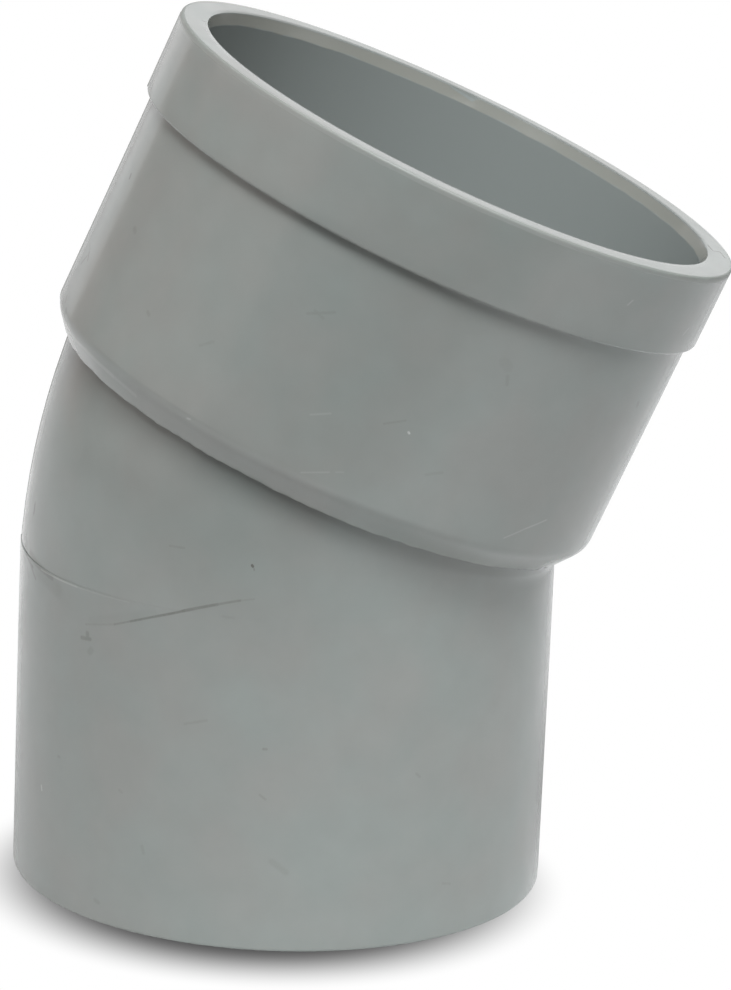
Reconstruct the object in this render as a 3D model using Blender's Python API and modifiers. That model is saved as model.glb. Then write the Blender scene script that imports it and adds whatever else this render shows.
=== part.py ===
"""Solvent-weld drain bend: a plain spigot, a short curved middle and a socket with a collar.

The spigot stands on its end around +Z. The bend leans the socket towards +X, in the XZ plane.
The world origin is under the middle of the whole fitting's box.
"""

import math

import bmesh
import bpy
from mathutils import Matrix, Vector

MM = 0.001

# The pipe and the bend. The other sizes go with this pipe size.
PIPE_RADIUS = 37.5 * MM
WALL = 3.2 * MM
BEND_ANGLE = math.radians(22.5)
SPIGOT_LENGTH = 47.0 * MM
BEND_TANGENT = 7.7 * MM
SPIGOT_EDGE_ROUND = 0.5 * MM

# The socket, as heights along its own axis above the point where the two axes meet.
NECK_TOP = 8.8 * MM
SHOULDER_HEIGHT = 12.1 * MM
STOP_HEIGHT = 14.8 * MM
COLLAR_BOTTOM = 44.0 * MM
LEAD_IN_BOTTOM = 54.1 * MM
RIM_HEIGHT = 55.8 * MM

# The socket's radii and roundings.
FOOT_RADIUS = 38.25 * MM
BARREL_RADIUS = 40.75 * MM
COLLAR_RADIUS = 41.8 * MM
SOCKET_BORE_BOTTOM = 37.45 * MM
SOCKET_BORE_TOP = 37.55 * MM
RIM_BORE = 37.9 * MM
SHOULDER_ROUND = 1.7 * MM
COLLAR_ROUND = 0.5 * MM
RIM_ROUND = 0.8 * MM

# Neighbouring pieces meet face to face with this much room between them.
JOINT_GAP = 0.3 * MM

TURN_STEPS = 72
BEND_STEPS = 8
ROUND_STEPS = 4
SHARP_ANGLE = math.radians(30)

PIPE_BORE = PIPE_RADIUS - WALL
AXES_MEET = SPIGOT_LENGTH + BEND_TANGENT
BEND_RADIUS = BEND_TANGENT / math.tan(BEND_ANGLE / 2)
RIM_EDGE_X = (
    (RIM_HEIGHT - RIM_ROUND) * math.sin(BEND_ANGLE)
    + (COLLAR_RADIUS - RIM_ROUND) * math.cos(BEND_ANGLE)
    + RIM_ROUND
)
SPIGOT_X = (PIPE_RADIUS - RIM_EDGE_X) / 2

PVC_GREY = (0.27, 0.29, 0.275, 1.0)
PVC_ROUGHNESS = 0.38


def clear_scene():
    for obj in list(bpy.data.objects):
        bpy.data.objects.remove(obj, do_unlink=True)


def make_collection(name):
    collection = bpy.data.collections.new(name)
    bpy.context.scene.collection.children.link(collection)
    return collection


def pvc_material(name):
    material = bpy.data.materials.new(name)
    material.use_nodes = True
    shader = material.node_tree.nodes["Principled BSDF"]
    shader.inputs["Base Color"].default_value = PVC_GREY
    shader.inputs["Roughness"].default_value = PVC_ROUGHNESS
    shader.inputs["Metallic"].default_value = 0.0
    material.diffuse_color = PVC_GREY
    return material


def add_object(name, mesh, collection, frame):
    """A piece of the fitting, standing on the empty that carries them all."""
    obj = bpy.data.objects.new(name, mesh)
    obj.data.materials.append(pvc_material(name + "_pvc"))
    obj.parent = frame
    collection.objects.link(obj)
    return obj


def shade(obj):
    obj.data.shade_smooth()
    obj.data.set_sharp_from_angle(angle=SHARP_ANGLE)


def arc(centre, radius, start, end):
    """Points of a round corner in the profile plane, from one angle to the other."""
    points = []
    for step in range(ROUND_STEPS + 1):
        angle = start + (end - start) * step / ROUND_STEPS
        points.append((centre[0] + radius * math.cos(angle), centre[1] + radius * math.sin(angle)))
    return points


def turned(name, profile, collection, frame):
    """A ring: a closed profile of (radius, height) points turned once round local Z."""
    mesh = bpy.data.meshes.new(name)
    corners = [(radius, 0.0, height) for radius, height in profile]
    edges = [(index, (index + 1) % len(corners)) for index in range(len(corners))]
    mesh.from_pydata(corners, edges, [])
    obj = add_object(name, mesh, collection, frame)
    screw = obj.modifiers.new("Turn", "SCREW")
    screw.axis = "Z"
    screw.angle = math.tau
    screw.steps = TURN_STEPS
    screw.render_steps = TURN_STEPS
    screw.use_merge_vertices = True
    screw.merge_threshold = 0.00001
    screw.use_smooth_shade = False
    return obj


def spigot_profile():
    """The straight pipe end, from its top down the outside and back up the bore."""
    top = SPIGOT_LENGTH - JOINT_GAP
    rounding = (PIPE_RADIUS - SPIGOT_EDGE_ROUND, SPIGOT_EDGE_ROUND)
    return [
        (PIPE_RADIUS, top),
        *arc(rounding, SPIGOT_EDGE_ROUND, 0, -math.pi / 2),
        (PIPE_BORE, 0.0),
        (PIPE_BORE, top),
    ]


def shoulder_points():
    """The barrel's rounded lower edge, then a straight slope in to the socket's foot."""
    slope = math.atan2(BARREL_RADIUS - FOOT_RADIUS, SHOULDER_HEIGHT - NECK_TOP)
    centre = (
        BARREL_RADIUS - SHOULDER_ROUND,
        SHOULDER_HEIGHT + SHOULDER_ROUND * math.tan(slope / 2),
    )
    return [*arc(centre, SHOULDER_ROUND, 0, -slope), (FOOT_RADIUS, NECK_TOP)]


def socket_profile():
    """From the rim down the collar, barrel and shoulder, then up the bore past the pipe stop."""
    rim_rounding = (COLLAR_RADIUS - RIM_ROUND, RIM_HEIGHT - RIM_ROUND)
    collar_rounding = (COLLAR_RADIUS - COLLAR_ROUND, COLLAR_BOTTOM + COLLAR_ROUND)
    return [
        *arc(rim_rounding, RIM_ROUND, math.pi / 2, 0),
        *arc(collar_rounding, COLLAR_ROUND, 0, -math.pi / 2),
        (BARREL_RADIUS, COLLAR_BOTTOM),
        *shoulder_points(),
        (PIPE_BORE, NECK_TOP),
        (PIPE_BORE, STOP_HEIGHT),
        (SOCKET_BORE_BOTTOM, STOP_HEIGHT),
        (SOCKET_BORE_TOP, LEAD_IN_BOTTOM),
        (RIM_BORE, RIM_HEIGHT),
    ]


def add_ring_edges(shape, radius):
    ring = bmesh.ops.create_circle(
        shape,
        segments=TURN_STEPS,
        radius=radius,
        matrix=Matrix.Translation((0.0, 0.0, SPIGOT_LENGTH)),
    )
    return list({edge for vert in ring["verts"] for edge in vert.link_edges})


def sweep_wall(shape, edges):
    """Carry a ring round the bend and up the neck. Returns the ring's last edges."""
    corners = list({vert for edge in edges for vert in edge.verts})
    swept = bmesh.ops.spin(
        shape,
        geom=corners + edges,
        cent=Vector((BEND_RADIUS, 0.0, SPIGOT_LENGTH)),
        axis=Vector((0.0, 1.0, 0.0)),
        angle=BEND_ANGLE,
        steps=BEND_STEPS,
        use_duplicate=False,
    )
    last = [item for item in swept["geom_last"] if isinstance(item, bmesh.types.BMEdge)]
    neck = bmesh.ops.extrude_edge_only(shape, edges=last)["geom"]
    rise = NECK_TOP - JOINT_GAP - BEND_TANGENT
    bmesh.ops.translate(
        shape,
        verts=[item for item in neck if isinstance(item, bmesh.types.BMVert)],
        vec=Vector((math.sin(BEND_ANGLE), 0.0, math.cos(BEND_ANGLE))) * rise,
    )
    ends = {item for item in neck if isinstance(item, bmesh.types.BMEdge)}
    return [edge for edge in ends if len(edge.link_faces) == 1]


def make_bend(collection, frame):
    """The curved middle: two walls swept round the bend, closed at both ends."""
    shape = bmesh.new()
    outer_start = add_ring_edges(shape, PIPE_RADIUS)
    inner_start = add_ring_edges(shape, PIPE_BORE)
    outer_end = sweep_wall(shape, outer_start)
    outer_wall = set(shape.faces)
    inner_end = sweep_wall(shape, inner_start)
    inner_wall = [face for face in shape.faces if face not in outer_wall]
    bmesh.ops.reverse_faces(shape, faces=inner_wall)
    bmesh.ops.bridge_loops(shape, edges=outer_start + inner_start)
    bmesh.ops.bridge_loops(shape, edges=outer_end + inner_end)
    bmesh.ops.recalc_face_normals(shape, faces=shape.faces)
    mesh = bpy.data.meshes.new("bend")
    shape.to_mesh(mesh)
    shape.free()
    bend = add_object("bend", mesh, collection, frame)
    shade(bend)
    return bend


def make_spigot(collection, frame):
    spigot = turned("spigot", spigot_profile(), collection, frame)
    shade(spigot)
    return spigot


def make_socket(collection, frame):
    """Turned upright, then tilted to its own axis at the point where the two axes meet."""
    socket = turned("socket", socket_profile(), collection, frame)
    socket.location = (0.0, 0.0, AXES_MEET)
    socket.rotation_euler = (0.0, BEND_ANGLE, 0.0)
    shade(socket)
    return socket


def main():
    clear_scene()
    fitting = make_collection("drain_bend")
    frame = bpy.data.objects.new("spigot_end", None)
    frame.location = (SPIGOT_X, 0.0, 0.0)
    fitting.objects.link(frame)
    make_spigot(fitting, frame)
    make_bend(fitting, frame)
    make_socket(fitting, frame)


main()
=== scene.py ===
"""Looks for the drain bend: three moulded walls, the grey PVC they are made of, and a soft studio.

Every point of the fitting has three coordinates of its own. Height runs along the centre line, with
0 at the line round the top of the spigot. Angle runs round the centre line: 0 is the inside of the
bend (+X), 90 degrees the side that faces the camera, 180 degrees the outside. Radius is measured from
the centre line.
"""

import math

import bpy
import numpy as np
from mathutils import Matrix, Vector, noise


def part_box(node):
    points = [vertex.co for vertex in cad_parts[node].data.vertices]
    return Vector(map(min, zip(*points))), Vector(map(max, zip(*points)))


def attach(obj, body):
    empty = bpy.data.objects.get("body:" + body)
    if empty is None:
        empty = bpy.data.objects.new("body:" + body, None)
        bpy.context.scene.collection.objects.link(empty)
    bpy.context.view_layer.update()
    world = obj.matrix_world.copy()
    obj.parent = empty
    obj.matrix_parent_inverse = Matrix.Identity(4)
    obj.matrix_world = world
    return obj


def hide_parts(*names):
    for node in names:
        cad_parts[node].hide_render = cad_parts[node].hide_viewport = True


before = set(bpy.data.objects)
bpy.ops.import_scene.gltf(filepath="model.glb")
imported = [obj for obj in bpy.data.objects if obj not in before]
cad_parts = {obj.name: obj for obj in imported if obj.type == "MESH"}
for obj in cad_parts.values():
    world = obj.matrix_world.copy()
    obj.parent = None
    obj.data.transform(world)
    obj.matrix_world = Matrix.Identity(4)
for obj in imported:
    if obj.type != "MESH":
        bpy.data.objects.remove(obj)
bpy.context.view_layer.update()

MM = 0.001

# The spigot and the bend. The CAD node of the spigot gives the pipe's radius and its axis.
spigot_low, spigot_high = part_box("spigot")
PIPE_RADIUS = (spigot_high.x - spigot_low.x) / 2
SPIGOT_X = (spigot_high.x + spigot_low.x) / 2
PIPE_BORE = PIPE_RADIUS - 3.2 * MM
SPIGOT_LENGTH = 47.0 * MM
BEND_ANGLE = math.radians(22.5)
BEND_TANGENT = 7.7 * MM
BEND_RADIUS = BEND_TANGENT / math.tan(BEND_ANGLE / 2)
ARC_LENGTH = BEND_RADIUS * BEND_ANGLE

# Unevenness. The angles are in degrees round the centre line.
WAVE_SIZE = 22 * MM
WAVE_HEIGHT = 0.05 * MM
PART_LINE_HEIGHT = 0.09 * MM
PART_LINE_HALF_WIDTH = 0.22
SEAM_ANGLE = 172
SEAM_HALF_WIDTH = 70
SEAM_LEAST = 0.04
SEAM_MOST = 0.60
SEAM_REACH = 0.2 * MM
FLATTENING = 0.55 * MM
BEND_STEP = 0.1 * MM
BEND_STEP_HALF_WIDTH = 80
BEND_STEP_FADE = 12 * MM
RAGGED_FINE = 1.3 * MM
RAGGED_COARSE = 6 * MM
FOOT_RAGGED_OUT = 0.12 * MM
FOOT_RAGGED_DOWN = 0.1 * MM
LEAD_IN_RAGGED_SIZE = 3 * MM
LEAD_IN_RAGGED = 0.12 * MM
FLAKE_ANGLE = -92.5
FLAKE_WIDTH = 7.6
FLAKE_DEPTH = 0.8 * MM
FLAKE_INTO_RIM = 0.25 * MM

# The socket, as heights above the point where the two axes meet, measured along its own axis.
NECK_TOP = 8.8 * MM
SHOULDER_HEIGHT = 12.1 * MM
STOP_HEIGHT = 14.8 * MM
COLLAR_BOTTOM = 44.0 * MM
LEAD_IN_BOTTOM = 54.1 * MM
RIM_HEIGHT = 55.8 * MM
FOOT_RADIUS = 38.25 * MM
BARREL_RADIUS = 40.75 * MM
COLLAR_RADIUS = 41.8 * MM
SOCKET_BORE_BOTTOM = 37.45 * MM
SOCKET_BORE_TOP = 37.55 * MM
RIM_BORE = 37.9 * MM

# Edge roundings.
SPIGOT_EDGE_ROUND = 0.5 * MM
SPIGOT_TOP_EDGE = 0.12 * MM
BEND_BOTTOM_EDGE = 0.1 * MM
SHOULDER_ROUND = 3.0 * MM
COLLAR_ROUND = 0.35 * MM
COLLAR_FILLET = 0.25 * MM
RIM_ROUND = 0.35 * MM
INNER_EDGE_ROUND = 0.15 * MM

# The narrow ring of faces in which the map changes from one side to the next.
FLAT_GAP = 0.02 * MM

# Mesh density. The columns beside a part line are given by their distance from it, in degrees.
COLUMNS = 360
PART_LINE_COLUMNS = (0.18, 0.36, 0.6)
ROUND_STEPS = 5
ROW_SPACING = 2.0 * MM
SHARP_ANGLE = math.radians(35)

# Which face of the wall a row is on. It is added to the height in the map "wall", to keep them apart.
OUTSIDE = 0.0
RIM = 0.2
INSIDE = 0.4
FOOT = 0.6


def to_height(above_axes):
    """Height along the centre line of a level that is given above the point where the axes meet."""
    return ARC_LENGTH - BEND_TANGENT + above_axes


def swept(radius, height, angle):
    """World position of points given by radius, height and angle, as arrays of the same shape."""
    tilt = np.clip(height / BEND_RADIUS, 0.0, BEND_ANGLE)
    straight = height - tilt * BEND_RADIUS
    across = radius * np.cos(angle)
    x = BEND_RADIUS * (1 - np.cos(tilt)) + straight * np.sin(tilt) + across * np.cos(tilt)
    z = BEND_RADIUS * np.sin(tilt) + straight * np.cos(tilt) - across * np.sin(tilt)
    y = -radius * np.sin(angle)
    return np.stack([x + SPIGOT_X, y, z + SPIGOT_LENGTH], axis=-1)


def column_angles():
    """Angles of the mesh columns, from the back all the way round, closer along the two part lines."""
    angles = [-90 + 360 * step / COLUMNS for step in range(COLUMNS)]
    for line in (0, 180):
        angles += [line + side * offset for offset in PART_LINE_COLUMNS for side in (-1, 1)]
    return np.radians(np.array(sorted(angles)))


def arc(centre, radius, start, end, side):
    """Rows of a round edge, from one angle in the profile plane to the other."""
    rows = []
    for step in range(ROUND_STEPS + 1):
        angle = math.radians(start + (end - start) * step / ROUND_STEPS)
        rows.append((centre[0] + radius * math.cos(angle), centre[1] + radius * math.sin(angle), side))
    return rows


def run(start, end, side):
    """Rows of a straight stretch between two points of the profile, its ends left out."""
    length = math.dist(start, end)
    count = max(1, round(length / ROW_SPACING))
    rows = []
    for step in range(1, count):
        share = step / count
        radius = start[0] + (end[0] - start[0]) * share
        rows.append((radius, start[1] + (end[1] - start[1]) * share, side))
    return rows


def bump_round(angle, centre, half_width):
    """A smooth hump of height 1 round one angle, in degrees, 0 beyond its half width."""
    away = (np.degrees(angle) - centre + 180) % 360 - 180
    share = np.clip(1 - np.abs(away) / half_width, 0, 1)
    return share * share * (3 - 2 * share)


def ripple(angle, height, scale, seed):
    """Smooth noise on the wall, about -1 to 1, with features of the given size."""
    values = np.empty(angle.shape)
    for index in np.ndindex(angle.shape):
        around = Vector((math.cos(angle[index]), math.sin(angle[index]), 0.0)) * (PIPE_RADIUS / scale)
        values[index] = noise.noise(around + Vector((seed, 2 * seed, height[index] / scale)))
    return values


def part_line(angle):
    """The fine raised line that the two halves of the mould leave, in the plane of the bend."""
    away = np.abs((np.degrees(angle) + 90) % 180 - 90)
    return PART_LINE_HEIGHT * np.exp(-((away / PART_LINE_HALF_WIDTH) ** 2))


def seam_depth(angle):
    """How open the line round the spigot's top is: most on the outside of the bend, almost 0 elsewhere."""
    return SEAM_LEAST + (SEAM_MOST - SEAM_LEAST) * bump_round(angle, SEAM_ANGLE, SEAM_HALF_WIDTH)


def moulded(radius, height, angle, side):
    """Unevenness of the outside: long shallow waves, and the part line, fading out at both ends."""
    waves = ripple(angle, height, WAVE_SIZE, seed=3.1) * WAVE_HEIGHT
    to_foot = height + SPIGOT_LENGTH
    to_rim = to_height(RIM_HEIGHT) - height
    fade = np.clip(np.minimum(to_foot, to_rim) / RIM_ROUND, 0, 1)
    return radius + np.where(side == OUTSIDE, (waves + part_line(angle)) * fade, 0.0)


def build_wall(name, profile, uneven):
    """A closed ring of quads: the rows of the profile carried round all the columns."""
    angles = column_angles()
    rows = len(profile)
    columns = len(angles)
    radius, height, side = (np.repeat(np.array([values]).T, columns, axis=1) for values in zip(*profile))
    angle = np.repeat(angles[None, :], rows, axis=0)
    level = side + np.where((side == RIM) | (side == FOOT), radius, height)
    radius, height = uneven(radius, height, angle, side)
    points = swept(radius, height, angle).reshape(-1, 3)
    faces = []
    for row in range(rows):
        below = (row + 1) % rows
        for column in range(columns):
            beside = (column + 1) % columns
            faces.append((
                row * columns + column,
                row * columns + beside,
                below * columns + beside,
                below * columns + column,
            ))
    mesh = bpy.data.meshes.new(name)
    mesh.from_pydata(points.tolist(), [], faces)
    map_wall(mesh, columns, angles, level)
    mesh.shade_smooth()
    mesh.set_sharp_from_angle(angle=SHARP_ANGLE)
    piece = bpy.data.objects.new(name, mesh)
    bpy.context.scene.collection.objects.link(piece)
    return piece


def map_wall(mesh, columns, angles, level):
    """The map "wall", in metres: distance round the pipe, and height plus the side's number.

    On the flat rim and the flat foot, the radius takes the place of the height.
    """
    layer = mesh.uv_layers.new(name="wall")
    flat_level = level.reshape(-1)
    corners = np.empty(len(mesh.loops), dtype=np.int64)
    mesh.loops.foreach_get("vertex_index", corners)
    column = corners % columns
    around = angles[column] * PIPE_RADIUS
    # The last column's faces close the ring, so their far corners go one whole turn further.
    quads = column.reshape(-1, 4)
    closing = (quads.max(axis=1) - quads.min(axis=1)) > 1
    wrapped = around.reshape(-1, 4)
    wrapped[closing[:, None] & (quads == 0)] += math.tau * PIPE_RADIUS
    uv = np.stack([wrapped.reshape(-1), flat_level[corners]], axis=-1)
    layer.data.foreach_set("uv", uv.astype(np.float32).reshape(-1))


def spigot_profile():
    bottom = -SPIGOT_LENGTH
    outer_top = (PIPE_RADIUS, -SPIGOT_TOP_EDGE)
    outer_low = (PIPE_RADIUS, bottom + SPIGOT_EDGE_ROUND)
    inner_low = (PIPE_BORE, bottom + INNER_EDGE_ROUND)
    inner_top = (PIPE_BORE, 0.0)
    outer_centre = (PIPE_RADIUS - SPIGOT_EDGE_ROUND, outer_low[1])
    inner_centre = (PIPE_BORE + INNER_EDGE_ROUND, inner_low[1])
    return [
        (PIPE_RADIUS - SPIGOT_TOP_EDGE, 0.0, OUTSIDE),
        (PIPE_RADIUS - 0.3 * SPIGOT_TOP_EDGE, -0.3 * SPIGOT_TOP_EDGE, OUTSIDE),
        (*outer_top, OUTSIDE),
        (PIPE_RADIUS, -0.5 * MM, OUTSIDE),
        *run((PIPE_RADIUS, -0.5 * MM), outer_low, OUTSIDE),
        *arc(outer_centre, SPIGOT_EDGE_ROUND, 0, -90, OUTSIDE),
        (outer_centre[0] - FLAT_GAP, bottom, FOOT),
        (inner_centre[0] + FLAT_GAP, bottom, FOOT),
        *arc(inner_centre, INNER_EDGE_ROUND, 270, 180, INSIDE),
        *run(inner_low, inner_top, INSIDE),
        (*inner_top, INSIDE),
    ]


def bend_profile():
    top = to_height(NECK_TOP)
    return [
        (PIPE_RADIUS, top, OUTSIDE),
        *run((PIPE_RADIUS, top), (PIPE_RADIUS, 0.6 * MM), OUTSIDE),
        (PIPE_RADIUS, 0.6 * MM, OUTSIDE),
        (PIPE_RADIUS, 0.3 * MM, OUTSIDE),
        (PIPE_RADIUS, BEND_BOTTOM_EDGE, OUTSIDE),
        (PIPE_RADIUS - BEND_BOTTOM_EDGE, 0.0, OUTSIDE),
        (PIPE_BORE, 0.0, INSIDE),
        *run((PIPE_BORE, 0.0), (PIPE_BORE, top), INSIDE),
        (PIPE_BORE, top, INSIDE),
    ]


def shoulder_rows():
    """The barrel's rounded lower edge, then a straight slope in to the socket's foot."""
    slope = math.atan2(BARREL_RADIUS - FOOT_RADIUS, SHOULDER_HEIGHT - NECK_TOP)
    lift = SHOULDER_ROUND * math.tan(slope / 2)
    centre = (BARREL_RADIUS - SHOULDER_ROUND, to_height(SHOULDER_HEIGHT + lift))
    rounding = arc(centre, SHOULDER_ROUND, 0, -math.degrees(slope), OUTSIDE)
    foot = (FOOT_RADIUS, to_height(NECK_TOP))
    last = rounding[-1]
    slope_rows = []
    for share in (0.3, 0.6, 0.85, 0.96):
        radius = last[0] + (foot[0] - last[0]) * share
        slope_rows.append((radius, last[1] + (foot[1] - last[1]) * share, OUTSIDE))
    return [*rounding, *slope_rows, (foot[0] - 0.08 * MM, foot[1], OUTSIDE)]


def collar_rows():
    """From the rim's outer edge down the collar, and in under it to the barrel."""
    rim_centre = (COLLAR_RADIUS - RIM_ROUND, to_height(RIM_HEIGHT) - RIM_ROUND)
    low_centre = (COLLAR_RADIUS - COLLAR_ROUND, to_height(COLLAR_BOTTOM) + COLLAR_ROUND)
    fillet_centre = (BARREL_RADIUS + COLLAR_FILLET, to_height(COLLAR_BOTTOM) - COLLAR_FILLET)
    upper = (COLLAR_RADIUS, rim_centre[1])
    lower = (COLLAR_RADIUS, low_centre[1])
    return [
        *arc(rim_centre, RIM_ROUND, 90, 0, OUTSIDE),
        *run(upper, lower, OUTSIDE),
        *arc(low_centre, COLLAR_ROUND, 0, -90, OUTSIDE),
        *arc(fillet_centre, COLLAR_FILLET, 90, 180, OUTSIDE),
    ]


def mouth_rows():
    """From the bore's top up the lead-in to the rim's inner edge."""
    rim = to_height(RIM_HEIGHT)
    lead_in = to_height(LEAD_IN_BOTTOM)
    edge = (RIM_BORE, rim - INNER_EDGE_ROUND)
    return [
        (SOCKET_BORE_TOP, lead_in, INSIDE),
        (SOCKET_BORE_TOP + 0.05 * MM, lead_in + 0.1 * MM, INSIDE),
        *run((SOCKET_BORE_TOP + 0.05 * MM, lead_in + 0.1 * MM), edge, INSIDE),
        (*edge, INSIDE),
        (RIM_BORE + 0.3 * INNER_EDGE_ROUND, rim - 0.3 * INNER_EDGE_ROUND, RIM),
        (RIM_BORE + INNER_EDGE_ROUND, rim, RIM),
        (RIM_BORE + 1.1 * MM, rim, RIM),
        (RIM_BORE + 2.2 * MM, rim, RIM),
        (COLLAR_RADIUS - RIM_ROUND - FLAT_GAP, rim, RIM),
    ]


def socket_profile():
    foot = to_height(NECK_TOP)
    stop = to_height(STOP_HEIGHT)
    barrel_top = (BARREL_RADIUS, to_height(COLLAR_BOTTOM) - COLLAR_FILLET)
    shoulder = shoulder_rows()
    bore_top = (SOCKET_BORE_TOP, to_height(LEAD_IN_BOTTOM) - 0.15 * MM)
    return [
        *collar_rows(),
        *run(barrel_top, shoulder[0][:2], OUTSIDE),
        *shoulder,
        (PIPE_BORE, foot, INSIDE),
        *run((PIPE_BORE, foot), (PIPE_BORE, stop), INSIDE),
        (PIPE_BORE, stop - INNER_EDGE_ROUND, INSIDE),
        (PIPE_BORE + INNER_EDGE_ROUND, stop, INSIDE),
        (SOCKET_BORE_BOTTOM, stop, INSIDE),
        *run((SOCKET_BORE_BOTTOM, stop), bore_top, INSIDE),
        (*bore_top, INSIDE),
        *mouth_rows(),
    ]


def open_line(radius, height, angle, side):
    """Radius near the line round the spigot's top: the edges there are only rounded where it is open."""
    open_edge = radius + (PIPE_RADIUS - radius) * (1 - seam_depth(angle))
    at_line = (side == OUTSIDE) & (np.abs(height) < SEAM_REACH)
    return np.where(at_line, open_edge, radius)


def uneven_spigot(radius, height, angle, side):
    """The open line at the top, and the unevenness of the outside."""
    return moulded(open_line(radius, height, angle, side), height, angle, side), height


def uneven_bend(radius, height, angle, side):
    """The outside of the turn is flatter than a true arc, and stands a little back from the spigot."""
    step = BEND_STEP * bump_round(angle, 180, BEND_STEP_HALF_WIDTH)
    near_line = np.clip(1 - height / BEND_STEP_FADE, 0, 1)
    radius = moulded(open_line(radius, height, angle, side), height, angle, side)
    share = height / to_height(NECK_TOP)
    flat = FLATTENING * 4 * share * (1 - share) * np.clip(-np.cos(angle), 0, 1) ** 1.5
    return radius - np.where(side == OUTSIDE, step * near_line + flat, 0.0), height


def near(height, line, reach):
    """1 at a line round the wall, falling off smoothly above and below it."""
    return np.exp(-(((height - line) / reach) ** 2))


def flake_share(angle):
    """How deep the flake in the rim is: nothing at one end, all at the other, where it ends in a step."""
    turn = np.degrees(angle) - FLAKE_ANGLE
    return np.where((turn > 0) & (turn < FLAKE_WIDTH), turn / FLAKE_WIDTH, 0.0)


def uneven_socket(radius, height, angle, side):
    """Ragged foot, a worn lead-in and a flake out of the rim's inner edge at the back."""
    radius = moulded(radius, height, angle, side)
    level = np.zeros_like(height)
    at_foot = near(height, to_height(NECK_TOP), 0.5 * MM) * (side == OUTSIDE)
    ragged = ripple(angle, level, RAGGED_FINE, seed=7.7) + ripple(angle, level, RAGGED_COARSE, seed=5.7)
    radius = radius + at_foot * ragged * FOOT_RAGGED_OUT
    height = height - at_foot * ragged * FOOT_RAGGED_DOWN
    at_lead_in = near(height, to_height(LEAD_IN_BOTTOM), 0.4 * MM) * (side == INSIDE)
    height = height + at_lead_in * ripple(angle, level, LEAD_IN_RAGGED_SIZE, seed=1.3) * LEAD_IN_RAGGED
    flake = flake_share(angle)
    at_edge = (side == INSIDE) & (height > to_height(RIM_HEIGHT) - 0.3 * MM)
    height = height - np.where(at_edge, flake * FLAKE_DEPTH, 0.0)
    lip = (side == RIM) & (radius < RIM_BORE + 0.5 * MM)
    radius = radius + np.where(lip, flake * FLAKE_INTO_RIM, 0.0)
    return radius, height


# The studio. Turns are counted from the camera's side: 90 is to its right, -90 to its left, 180 behind.
# Turns, rises and the camera's roll are in degrees, distances in metres and the lens in millimetres.
VIEW_TURN = -0.715
VIEW_HEIGHT = 15.156
VIEW_ROLL = 2.468
VIEW_DISTANCE = 0.6921
VIEW_CENTRE = Vector((SPIGOT_X + 10.60 * MM, 0.0, 54.65 * MM))
LENS = 179.39


def look_from(turn, rise, distance, target):
    """A matrix at that distance from the target, its -Z axis pointing at it. The rise is under 90."""
    turn = math.radians(turn)
    rise = math.radians(rise)
    back = Vector((
        math.sin(turn) * math.cos(rise),
        -math.cos(turn) * math.cos(rise),
        math.sin(rise),
    ))
    right = Vector((0.0, 0.0, 1.0)).cross(back).normalized()
    up = back.cross(right)
    turned = Matrix((right, up, back)).transposed().to_4x4()
    return Matrix.Translation(target + back * distance) @ turned


def add_camera():
    data = bpy.data.cameras.new("view")
    data.lens = LENS
    data.sensor_width = 36.0
    data.clip_start = 0.01
    camera = bpy.data.objects.new("view", data)
    bpy.context.scene.collection.objects.link(camera)
    place = look_from(VIEW_TURN, VIEW_HEIGHT, VIEW_DISTANCE, VIEW_CENTRE)
    camera.matrix_world = place @ Matrix.Rotation(math.radians(VIEW_ROLL), 4, "Z")
    bpy.context.scene.camera = camera


def add_lamp(name, width, height, radiance, tint, place):
    """A flat lamp that the camera doesn't see, with the brightness and the colour of its surface given."""
    data = bpy.data.lights.new(name, "AREA")
    data.shape = "RECTANGLE"
    data.size = width
    data.size_y = height
    data.energy = radiance * math.pi * width * height
    data.color = tint
    lamp = bpy.data.objects.new(name, data)
    lamp.matrix_world = place
    lamp.visible_camera = False
    bpy.context.scene.collection.objects.link(lamp)


def add_softbox(name, turn, rise, distance, width, height, radiance, tint):
    """A lamp that faces the fitting."""
    add_lamp(name, width, height, radiance, tint, look_from(turn, rise, distance, VIEW_CENTRE))


def add_glow(name, left, right, front, back, radiance):
    """A lamp that lies on the table and faces up."""
    centre = Vector(((left + right) / 2, (front + back) / 2, GLOW_LIFT))
    place = Matrix.Translation(centre) @ Matrix.Rotation(math.pi, 4, "X")
    add_lamp(name, right - left, back - front, radiance, NEUTRAL, place)


NEUTRAL = (1.0, 1.0, 1.0)
COOL = (0.97, 1.0, 1.02)
WARM = (1.10, 0.98, 0.92)

# Name, turn, rise, distance, width, height, brightness, colour.
SOFTBOXES = (
    ("key", 0, 58, 1.2, 0.8, 0.6, 4.75, COOL),
    ("key_middle", 0, 58, 1.2, 0.4, 0.3, 11.96, COOL),
    ("key_high", 0, 66, 1.2, 0.4, 0.3, 15.17, NEUTRAL),
    ("key_right", 45, 55, 1.2, 0.7, 0.7, 4.80, NEUTRAL),
    ("front_left", -35, 15, 1.3, 0.7, 0.7, 0.25, NEUTRAL),
    ("left_front", -65, 15, 1.3, 0.7, 0.7, 0.76, WARM),
    ("left", -95, 15, 1.3, 0.7, 0.7, 0.80, WARM),
    ("left_back", -125, 12, 1.3, 0.7, 0.7, 0.60, WARM),
    ("back_left", -150, 12, 1.2, 0.3, 0.8, 0.10, NEUTRAL),
    ("right", 85, 12, 1.4, 0.8, 0.8, 0.70, NEUTRAL),
    ("backdrop", 180, 25, 1.3, 2.0, 0.6, 0.35, NEUTRAL),
    ("backdrop_low", -174, 6, 1.5, 2.15, 0.4, 1.06, NEUTRAL),
)

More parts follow.
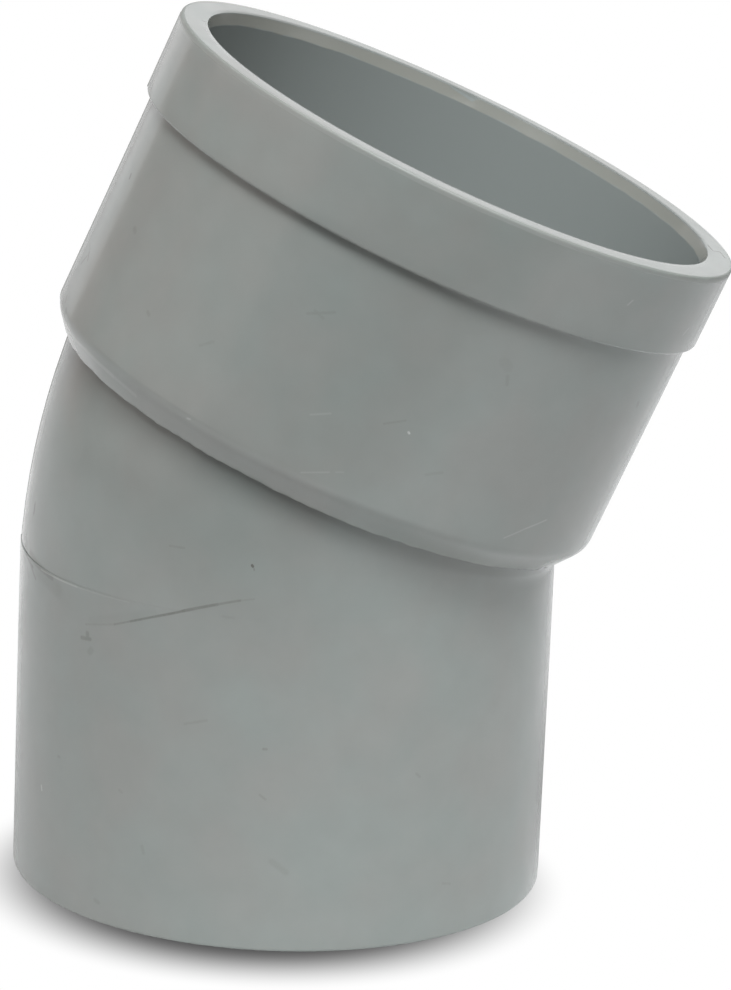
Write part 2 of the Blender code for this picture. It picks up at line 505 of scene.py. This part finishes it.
# The white table that throws light back at the fitting: it fades out close in front and at the right.
TABLE_LEFT = -4.0
TABLE_RIGHT = 0.46
TABLE_FRONT = -0.30
TABLE_BACK = 4.0
TABLE_FADE_RIGHT = 0.24
TABLE_FADE_FRONT = 0.18
TABLE_WHITE = 0.8

# Brighter stretches of the table: name, left, right, front, back, brightness.
GLOWS = (
    ("glow_behind", -1.0, 0.3, 0.6, 1.6, 0.30),
    ("glow_left", -1.0, -0.25, 0.0, 0.6, 0.25),
    ("glow_near", -0.25, 0.0, 0.12, 0.6, 0.14),
)
GLOW_LIFT = 0.5 * MM

# The floor that the camera sees lies just under the table.
FLOOR_HALF = 4.0
FLOOR_LEVEL = -0.01 * MM


def node(tree, kind, inputs=None, **settings):
    """A shader node. Each input is given as a value or as the output that it is linked to."""
    made = tree.nodes.new("ShaderNode" + kind)
    for key, value in settings.items():
        setattr(made, key, value)
    for key, value in (inputs or {}).items():
        if isinstance(value, bpy.types.NodeSocket):
            tree.links.new(value, made.inputs[key])
        else:
            made.inputs[key].default_value = value
    return made


def calc(tree, operation, *values):
    made = node(tree, "Math", dict(enumerate(values)), operation=operation)
    return made.outputs[0]


def noise_of(tree, place, feature, detail, seed):
    """Smooth noise from 0 to 1 in space, with features of the given size in millimetres."""
    inputs = {"Vector": place, "W": seed, "Scale": 1 / (feature * MM), "Detail": detail, "Roughness": 0.5}
    return node(tree, "TexNoise", inputs, noise_dimensions="4D").outputs["Fac"]


def ramp(tree, value, low, high, to_low, to_high, smooth=False):
    """A value between low and high, carried over to another range and kept inside it."""
    inputs = {"Value": value, "From Min": low, "From Max": high, "To Min": to_low, "To Max": to_high}
    kind = "SMOOTHSTEP" if smooth else "LINEAR"
    return node(tree, "MapRange", inputs, interpolation_type=kind).outputs[0]


def vector_calc(tree, operation, first, second, output="Vector"):
    return node(tree, "VectorMath", {0: first, 1: second}, operation=operation).outputs[output]


def scaled(tree, vector, factor):
    return node(tree, "VectorMath", {0: vector, "Scale": factor}, operation="SCALE").outputs[0]


def mix(tree, share, first, second):
    """One colour, giving way to another as the share goes from 0 to 1."""
    return node(tree, "Mix", {"Factor": share, 6: first, 7: second}, data_type="RGBA").outputs[2]


def add_studio():
    """Lamps all round, and a white surround that only the camera sees."""
    for softbox in SOFTBOXES:
        add_softbox(*softbox)
    for glow in GLOWS:
        add_glow(*glow)
    world = bpy.data.worlds.new("studio")
    bpy.context.scene.world = world
    world.use_nodes = True
    tree = world.node_tree
    tree.nodes.clear()
    path = node(tree, "LightPath")
    white = {"Color": (1.0, 1.0, 1.0, 1.0), "Strength": path.outputs["Is Camera Ray"]}
    seen = node(tree, "Background", white)
    node(tree, "OutputWorld", {"Surface": seen.outputs[0]})


def flat_piece(name, left, right, front, back, height):
    mesh = bpy.data.meshes.new(name)
    corners = [(left, front, height), (right, front, height), (right, back, height), (left, back, height)]
    mesh.from_pydata(corners, [], [(0, 1, 2, 3)])
    piece = bpy.data.objects.new(name, mesh)
    bpy.context.scene.collection.objects.link(piece)
    return piece


# The soft shadow of the fitting's foot, painted on the white floor.
SHADOW_CENTRE = (SPIGOT_X - 1.5 * MM, -6.6 * MM)
SHADOW_STRETCH = 1.06
SHADOW_INNER = PIPE_RADIUS - 8.0 * MM
SHADOW_OUTER = PIPE_RADIUS + 8.4 * MM
SHADOW_DEPTH = 0.1


def add_floor():
    """The table that lights the fitting from below, and the white floor that the camera sees, evenly
    bright but for a painted shadow round the foot.
    """
    table = flat_piece("table", TABLE_LEFT, TABLE_RIGHT, TABLE_FRONT, TABLE_BACK, 0.0)
    table.visible_camera = False
    matt = bpy.data.materials.new("table_white")
    matt.use_nodes = True
    tree = matt.node_tree
    shader = tree.nodes["Principled BSDF"]
    spot = node(tree, "SeparateXYZ", {0: node(tree, "NewGeometry").outputs["Position"]})
    front = ramp(tree, spot.outputs["Y"], TABLE_FRONT, TABLE_FRONT + TABLE_FADE_FRONT, 0.0, 1.0, True)
    right = ramp(tree, spot.outputs["X"], TABLE_RIGHT - TABLE_FADE_RIGHT, TABLE_RIGHT, 1.0, 0.0, True)
    whiteness = calc(tree, "MULTIPLY", calc(tree, "MULTIPLY", front, right), TABLE_WHITE)
    tree.links.new(whiteness, shader.inputs["Base Color"])
    shader.inputs["Specular IOR Level"].default_value = 0.0
    table.data.materials.append(matt)

    floor = flat_piece("floor", -FLOOR_HALF, FLOOR_HALF, -FLOOR_HALF, FLOOR_HALF, FLOOR_LEVEL)
    floor.visible_diffuse = False
    floor.visible_glossy = False
    floor.visible_shadow = False
    white = bpy.data.materials.new("floor_white")
    white.use_nodes = True
    tree = white.node_tree
    tree.nodes.clear()
    place = node(tree, "NewGeometry").outputs["Position"]
    # Painted shadow: the floor glows less towards the fitting's foot.
    from_centre = vector_calc(tree, "SUBTRACT", place, (*SHADOW_CENTRE, 0.0))
    flat = vector_calc(tree, "MULTIPLY", from_centre, (SHADOW_STRETCH, 1.0, 0.0))
    away = node(tree, "VectorMath", {0: flat}, operation="LENGTH").outputs["Value"]
    fade = ramp(tree, away, SHADOW_INNER, SHADOW_OUTER, SHADOW_DEPTH, 1.0, smooth=True)
    glow = node(tree, "Emission", {"Color": (1.0, 1.0, 1.0, 1.0), "Strength": fade})
    node(tree, "OutputMaterial", {"Surface": glow.outputs[0]})
    floor.data.materials.append(white)


# Marks on the outside, each a straight stroke: from angle and height to angle and height in degrees and
# millimetres, then half its width and the width of its soft border in millimetres, and its strength.
DARK_MARKS = (
    # The long scratch that runs down across the line round the spigot's top.
    (135.8, -5.0, 127.7, -3.8, 0.04, 0.22, 0.16),
    (127.7, -3.8, 123.5, -2.8, 0.06, 0.16, 0.34),
    (123.5, -2.8, 118.0, -1.5, 0.09, 0.14, 0.50),
    (118.0, -1.5, 110.8, 0.1, 0.10, 0.14, 0.55),
    (110.8, 0.1, 103.8, 1.3, 0.09, 0.14, 0.48),
    (103.8, 1.3, 99.2, 2.1, 0.06, 0.14, 0.38),
    (99.2, 2.1, 96.4, 2.5, 0.02, 0.16, 0.16),
    (134.0, -4.3, 118.0, -1.0, 0.25, 0.80, 0.06),
    # Two smudges under its left end.
    (137.0, -7.1, 134.4, -6.9, 0.14, 0.26, 0.36),
    (135.3, -6.2, 135.2, -6.8, 0.18, 0.30, 0.36),
    (134.5, -8.7, 134.0, -8.4, 0.25, 0.45, 0.16),
    # A speck and short scuffs on the bend.
    (97.9, 6.55, 97.7, 6.45, 0.10, 0.14, 0.95),
    (97.4, 6.20, 97.3, 6.05, 0.05, 0.12, 0.40),
    (116.0, 6.1, 112.6, 6.35, 0.02, 0.16, 0.18),
    (102.6, 0.0, 100.3, -0.1, 0.02, 0.26, 0.10),
    (163.2, 3.8, 163.0, 3.3, 0.12, 0.25, 0.60),
    # The dragged patch at the outside end of the line round the spigot's top.
    (168.0, 0.5, 163.0, -0.2, 0.10, 0.30, 0.40),
    (165.0, -0.1, 159.0, -0.9, 0.10, 0.28, 0.50),
    (162.0, 0.2, 148.5, -0.6, 0.16, 0.50, 0.38),
    (160.5, -0.9, 157.0, -2.2, 0.08, 0.26, 0.40),
    (163.0, -1.8, 162.4, -2.9, 0.10, 0.30, 0.26),
    (157.0, -0.6, 146.0, -1.8, 0.45, 1.20, 0.14),
    (170.0, 1.6, 165.5, 0.4, 0.12, 0.50, 0.24),
    # Faint specks and scuffs low on the spigot.
    (93.2, -18.1, 92.6, -18.1, 0.08, 0.20, 0.30),
    (110.0, -15.7, 105.3, -14.8, 0.04, 0.28, 0.14),
    (144.2, -25.4, 143.6, -25.4, 0.08, 0.25, 0.18),
    (93.6, -24.6, 92.4, -25.2, 0.06, 0.20, 0.20),
    (118.9, -34.2, 118.5, -35.1, 0.10, 0.30, 0.14),
    (130.8, -43.8, 129.8, -44.0, 0.12, 0.35, 0.16),
    (90.6, -34.0, 87.6, -35.5, 0.12, 0.60, 0.12),
    (125.0, -27.0, 124.4, -27.2, 0.08, 0.24, 0.12),
    (60.0, -22.4, 59.2, -22.9, 0.06, 0.24, 0.16),
    (52.0, -39.0, 50.0, -39.3, 0.04, 0.26, 0.12),
    (168.0, -7.0, 166.0, -7.2, 0.10, 0.30, 0.24),
    # Specks and smudges on the socket.
    (164.6, 41.6, 164.4, 41.2, 0.12, 0.25, 0.60),
    (168.4, 28.9, 166.8, 28.0, 0.06, 0.22, 0.50),
    (170.5, 26.6, 168.6, 28.2, 0.06, 0.22, 0.44),
    (171.0, 29.6, 168.6, 29.2, 0.04, 0.22, 0.30),
    (172.0, 20.6, 166.0, 19.2, 0.30, 0.80, 0.20),
    (170.0, 21.6, 169.0, 21.0, 0.12, 0.30, 0.32),
    (166.3, 20.6, 165.4, 20.2, 0.10, 0.30, 0.30),
    (152.5, 36.7, 151.9, 36.5, 0.15, 0.45, 0.20),
    (138.0, 28.9, 137.4, 28.7, 0.10, 0.30, 0.18),
    (107.0, 40.2, 102.5, 42.0, 0.04, 0.28, 0.15),
    (106.0, 41.0, 104.0, 40.6, 0.04, 0.28, 0.12),
    (85.4, 31.3, 82.0, 32.8, 0.04, 0.20, 0.16),
    (69.3, 44.9, 68.3, 44.5, 0.40, 0.60, 0.09),
    (67.4, 43.3, 66.8, 42.2, 0.08, 0.30, 0.14),
    (29.2, 43.7, 28.8, 43.2, 0.15, 0.30, 0.22),
    (123.6, 29.2, 121.4, 30.6, 0.05, 0.28, 0.12),
    (73.8, 27.0, 71.0, 28.0, 0.05, 0.28, 0.12),
)
PALE_MARKS = (
    # A nick on the shoulder, and beside it a painted highlight in three strokes along the left end of the
    # slope under the barrel.
    (119.6, 19.8, 119.0, 19.9, 0.05, 0.14, 0.14),
    (164.2, 18.2, 151.5, 18.7, 0.10, 0.30, 0.14),
    (151.5, 18.7, 140.5, 18.5, 0.12, 0.36, 0.10),
    (140.5, 18.5, 133.2, 18.2, 0.06, 0.36, 0.06),
    (98.4, 28.3, 95.2, 29.6, 0.03, 0.18, 0.07),
    (95.4, 20.7, 90.8, 22.3, 0.02, 0.16, 0.08),
    (89.6, 22.7, 88.4, 23.1, 0.02, 0.16, 0.06),
    (51.2, 21.7, 46.8, 23.6, 0.03, 0.16, 0.11),
    (46.8, 23.6, 42.0, 25.3, 0.03, 0.16, 0.13),
    (80.5, 31.5, 80.3, 31.4, 0.08, 0.14, 0.34),
    (27.5, 54.6, 26.2, 55.6, 0.03, 0.14, 0.16),
    (151.0, -31.0, 150.7, -31.6, 0.06, 0.16, 0.22),
    (50.5, 57.6, 49.8, 58.4, 0.03, 0.14, 0.14),
    # The open line round the spigot's top catches the light at its edge.
    (154.0, -0.30, 139.0, -0.24, 0.03, 0.14, 0.13),
    (139.0, -0.24, 124.0, -0.20, 0.01, 0.10, 0.05),
)
# The same on the flat rim, with the radius in place of the height.
RIM_DARK_MARKS = (
    (-176.6, 41.7, -175.4, 41.2, 0.08, 0.20, 0.45),
    (178.8, 38.1, 178.0, 38.6, 0.10, 0.25, 0.50),
    (176.8, 38.3, 176.0, 38.2, 0.06, 0.20, 0.32),
    (-10.9, 38.0, -9.9, 38.0, 0.10, 0.18, 0.60),
    (-5.5, 38.5, -1.9, 38.95, 0.05, 0.14, 0.95),
    (-1.9, 38.95, -4.0, 40.2, 0.05, 0.14, 0.85),
    (-4.0, 40.2, 0.0, 40.7, 0.04, 0.14, 0.75),
)


def stroke_group():
    """Node group: 1 on a straight stroke of the map, falling to 0 across its soft border."""
    group = bpy.data.node_groups.new("stroke", "ShaderNodeTree")
    for name in ("Point", "Start", "End"):
        group.interface.new_socket(name, in_out="INPUT", socket_type="NodeSocketVector")
    for name in ("Width", "Blur"):
        group.interface.new_socket(name, in_out="INPUT", socket_type="NodeSocketFloat")
    group.interface.new_socket("Cover", in_out="OUTPUT", socket_type="NodeSocketFloat")
    given = group.nodes.new("NodeGroupInput").outputs
    along = vector_calc(group, "SUBTRACT", given["End"], given["Start"])
    away = vector_calc(group, "SUBTRACT", given["Point"], given["Start"])
    reach = vector_calc(group, "DOT_PRODUCT", away, along, "Value")
    length_squared = vector_calc(group, "DOT_PRODUCT", along, along, "Value")
    share = node(group, "Math", {0: reach, 1: length_squared}, operation="DIVIDE", use_clamp=True)
    nearest = scaled(group, along, share.outputs[0])
    gap = vector_calc(group, "DISTANCE", away, nearest, "Value")
    far_edge = calc(group, "ADD", given["Width"], given["Blur"])
    result = group.nodes.new("NodeGroupOutput")
    group.links.new(ramp(group, gap, given["Width"], far_edge, 1.0, 0.0, True), result.inputs["Cover"])
    return group


def on_map(angle, height, side):
    """A place on the map "wall", in millimetres, from an angle in degrees and a height in millimetres."""
    return (math.radians(angle) * PIPE_RADIUS / MM, height + side / MM, 0.0)


def marks_on(tree, group, point, marks, side):
    """The strongest of the strokes at each point, from 0 to 1."""
    total = 0.0
    for angle, height, end_angle, end_height, width, blur, strength in marks:
        made = node(tree, "Group", {
            "Point": point,
            "Start": on_map(angle, height, side),
            "End": on_map(end_angle, end_height, side),
            "Width": width,
            "Blur": blur,
        }, node_tree=group)
        cover = calc(tree, "MULTIPLY", made.outputs["Cover"], strength)
        total = calc(tree, "MAXIMUM", cover, total)
    return total


def between(marks, low, high):
    """The marks that reach into a range of heights, in millimetres."""
    return [mark for mark in marks if max(mark[1], mark[3]) > low - 1 and min(mark[1], mark[3]) < high + 1]


# The plastic's colours: two shades that drift into each other, the bore painted paler as painted light,
# the rim's worn outer edge painted paler as a highlight, the mouth's painted highlight, then what the dark
# marks and the pale marks with painted highlights show.
PVC_COOL = (0.209, 0.230, 0.219, 1.0)
PVC_WARM = (0.217, 0.226, 0.215, 1.0)
PVC_BORE_LIT = (0.234, 0.256, 0.248, 1.0)
PVC_WORN_AND_HIGHLIT = (0.30, 0.31, 0.29, 1.0)
PVC_LEAD_IN_HIGHLIGHT = (0.235, 0.240, 0.218, 1.0)
PVC_DIRTY = (0.085, 0.083, 0.072, 1.0)
PVC_BRUISED_AND_HIGHLIGHT = (0.62, 0.64, 0.60, 1.0)
PVC_ROUGHNESS = 0.18

# Painted shade on the bend under the socket's foot, where the overhang shades it: how far down it reaches,
# where it is darkest, and what it leaves of the colour. The distances are in millimetres.
SHADE_REACH = 4.5
SHADE_DARKEST = 0.8
SHADE_KEPT = 0.85

# The rim's rounded outer edge, worn and also painted paler as a painted highlight. In millimetres down
# from the rim: where it fades out, and where it is full; then the share of the paler colour, and how much
# rougher the worn edge is.
EDGE_FADES = 1.1
EDGE_FULL = 0.3
EDGE_HIGHLIGHT_SHARE = 0.35
RUBBED_ROUGHER = 0.3


def painted_crease_shade(tree, colour, level):
    """Painted shade on the bend, darker towards the corner under the socket's foot, where the overhang
    shades it.
    """
    corner = to_height(NECK_TOP) / MM
    painted_shade = ramp(tree, level, corner - SHADE_REACH, corner - SHADE_DARKEST, 1.0, SHADE_KEPT, smooth=True)
    return scaled(tree, colour, painted_shade)


def painted_light_in_mouth(tree, colour, level, place):
    """The bore painted paler as painted light inside the socket, and a paler band of painted highlight on
    its flared mouth, with a ragged lower border.
    """
    in_bore = calc(tree, "GREATER_THAN", level, (INSIDE - 0.05) / MM)
    colour = mix(tree, in_bore, colour, PVC_BORE_LIT)
    border = (INSIDE + to_height(LEAD_IN_BOTTOM)) / MM
    ragged = ramp(tree, noise_of(tree, place, feature=2.5, detail=2.0, seed=3.3), 0.3, 0.7, -0.12, 0.12)
    lead_in_highlight = ramp(tree, calc(tree, "ADD", level, ragged), border - 0.05, border + 0.1, 0.0, 1.0)
    on_wall = calc(tree, "LESS_THAN", level, (FOOT - 0.05) / MM)
    return mix(tree, calc(tree, "MULTIPLY", lead_in_highlight, on_wall), colour, PVC_LEAD_IN_HIGHLIGHT)


def worn_and_highlit_edge(tree, level):
    """1 on the rounded outer edge of the rim, worn and painted with a highlight, fading to 0 a little way
    down the collar.
    """
    top = to_height(RIM_HEIGHT) / MM
    near_edge = ramp(tree, level, top - EDGE_FADES, top - EDGE_FULL, 0.0, 1.0, smooth=True)
    outside = calc(tree, "LESS_THAN", level, RIM / MM / 2)
    return calc(tree, "MULTIPLY", near_edge, outside)


def cloudy_colour(tree, place):
    """Grey that drifts between two shades, with a finer unevenness in how light it is."""
    cloud = ramp(tree, noise_of(tree, place, feature=12, detail=2.0, seed=1.7), 0.35, 0.65, 0.0, 1.0)
    shade = ramp(tree, noise_of(tree, place, feature=5, detail=3.0, seed=4.2), 0.3, 0.7, 0.975, 1.025)
    return scaled(tree, mix(tree, cloud, PVC_COOL, PVC_WARM), shade)


def finish_skin(tree, shader, place, dark, rubbed):
    """Gloss that varies a little, less of it where the skin is dirty or rubbed, and a very fine grain."""
    uneven = noise_of(tree, place, feature=3, detail=3.0, seed=6.4)
    roughness = ramp(tree, uneven, 0.3, 0.7, PVC_ROUGHNESS - 0.025, PVC_ROUGHNESS + 0.035)
    rougher = calc(tree, "MULTIPLY", rubbed, RUBBED_ROUGHER)
    tree.links.new(calc(tree, "ADD", roughness, rougher), shader.inputs["Roughness"])
    shader.inputs["IOR"].default_value = 1.5
    tree.links.new(ramp(tree, dark, 0.0, 1.0, 0.5, 0.0), shader.inputs["Specular IOR Level"])
    grain = noise_of(tree, place, feature=0.35, detail=2.0, seed=2.9)
    bump = node(tree, "Bump", {"Strength": 0.03, "Distance": 0.01 * MM, "Height": grain})
    tree.links.new(bump.outputs[0], shader.inputs["Normal"])


def pvc_material(name, group, low, high, rim=False, shade_under_foot=False):
    """Grey PVC with faint cloudiness, handling marks between two heights, and a moulded skin."""
    material = bpy.data.materials.new(name)
    material.use_nodes = True
    tree = material.node_tree
    shader = tree.nodes["Principled BSDF"]
    place = node(tree, "TexCoord").outputs["Object"]
    wall = node(tree, "UVMap", uv_map="wall").outputs["UV"]
    point = scaled(tree, wall, 1 / MM)
    level = node(tree, "SeparateXYZ", {0: point}).outputs["Y"]
    colour = cloudy_colour(tree, place)
    dark = marks_on(tree, group, point, between(DARK_MARKS, low, high), OUTSIDE)
    pale = marks_on(tree, group, point, between(PALE_MARKS, low, high), OUTSIDE)
    rubbed = pale
    if shade_under_foot:
        # Painted shade: the bend darker towards the corner under the socket's foot.
        colour = painted_crease_shade(tree, colour, level)
    if rim:
        worn_and_highlit = worn_and_highlit_edge(tree, level)
        # The bore and the mouth's lead-in painted paler: painted light inside the socket and a painted
        # highlight on the lead-in.
        colour = painted_light_in_mouth(tree, colour, level, place)
        # The rim's outer edge painted paler: wear, and a painted highlight where the rounding turns from
        # the lit rim top to the collar.
        colour = mix(tree, calc(tree, "MULTIPLY", worn_and_highlit, EDGE_HIGHLIGHT_SHARE), colour, PVC_WORN_AND_HIGHLIT)
        dark = calc(tree, "MAXIMUM", dark, marks_on(tree, group, point, RIM_DARK_MARKS, RIM))
        rubbed = calc(tree, "MAXIMUM", pale, worn_and_highlit)
    broken = ramp(tree, noise_of(tree, place, feature=0.5, detail=2.0, seed=9.1), 0.3, 0.6, 0.75, 1.0)
    dark = calc(tree, "MULTIPLY", dark, broken)
    # Pale marks: bruised plastic, and painted highlights on the shoulder's slope and along the open line.
    colour = mix(tree, pale, mix(tree, dark, colour, PVC_DIRTY), PVC_BRUISED_AND_HIGHLIGHT)
    tree.links.new(colour, shader.inputs["Base Color"])
    finish_skin(tree, shader, place, dark, rubbed)
    return material


def make_piece(node_name, profile, uneven, material):
    piece = build_wall(node_name + "_wall", profile, uneven)
    piece.data.materials.append(material)
    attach(piece, "root")
    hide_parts(node_name)


add_camera()
add_studio()
add_floor()
strokes = stroke_group()
foot = to_height(NECK_TOP) / MM
rim = to_height(RIM_HEIGHT) / MM
spigot_pvc = pvc_material("spigot_grey_pvc", strokes, -SPIGOT_LENGTH / MM, 0)
# The bend's material carries painted shade under the socket's foot.
bend_pvc = pvc_material("bend_grey_pvc", strokes, 0, foot, shade_under_foot=True)
socket_pvc = pvc_material("socket_grey_pvc", strokes, foot, rim, rim=True)
make_piece("spigot", spigot_profile(), uneven_spigot, spigot_pvc)
make_piece("bend", bend_profile(), uneven_bend, bend_pvc)
make_piece("socket", socket_profile(), uneven_socket, socket_pvc)

bpy.context.scene.view_settings.view_transform = "Standard"
